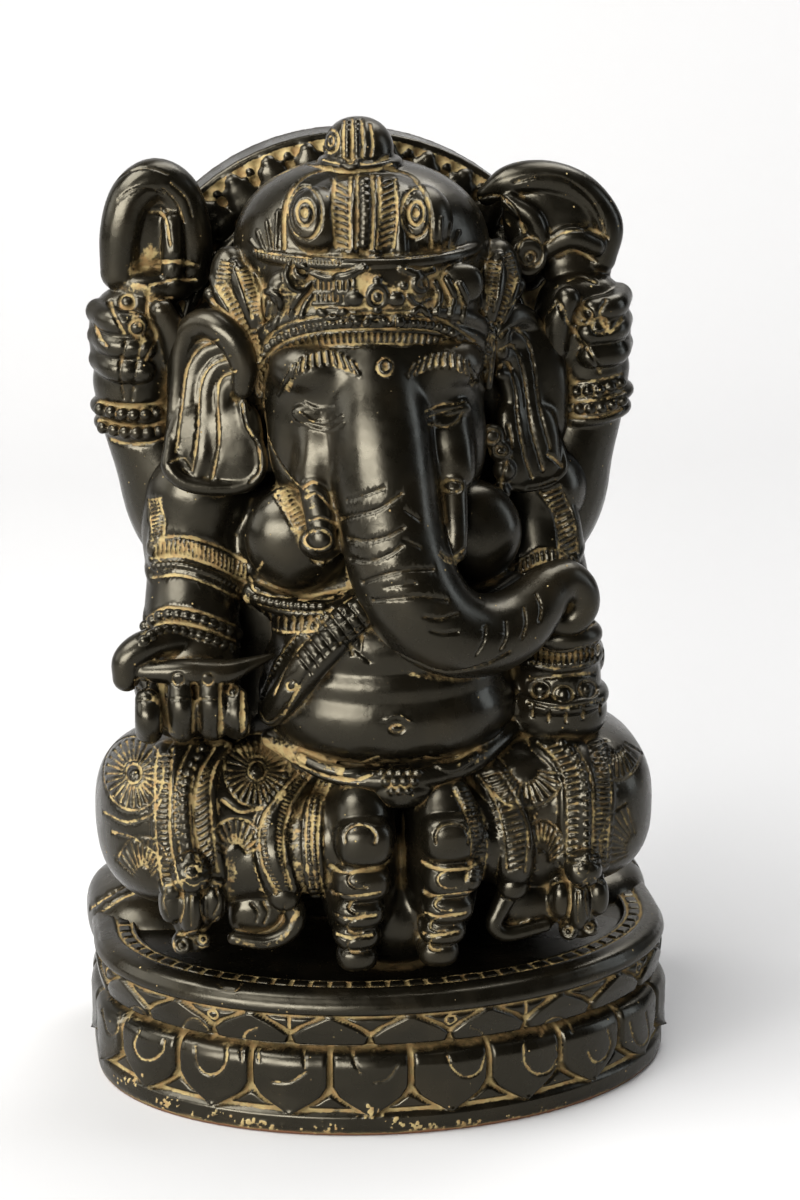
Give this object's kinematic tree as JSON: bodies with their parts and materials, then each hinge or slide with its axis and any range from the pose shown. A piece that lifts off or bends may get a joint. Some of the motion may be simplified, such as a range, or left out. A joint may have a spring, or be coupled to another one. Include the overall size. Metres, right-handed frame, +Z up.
{
  "type": "ganesha statue",
  "caption": "Seated elephant-headed deity statue in black cast stone with clay-toned recesses, a halo behind the crown and a two-tier lotus petal base.",
  "frame": {"origin": "centre of the bounding box's underside, on the flat underside of the base", "axes": "+Z up through the crown, -Y to the front where the figure looks, +X to the viewer's right as the figure faces the viewer"},
  "size_m": [0.1532, 0.1084, 0.2495],
  "materials": {
    "black_stone": "satin black wax over cast stone, with ochre clay left in the recesses"
  },
  "bodies": {
    "root": {"ganesha_statue": "black_stone"}
  },
  "joints": []
}
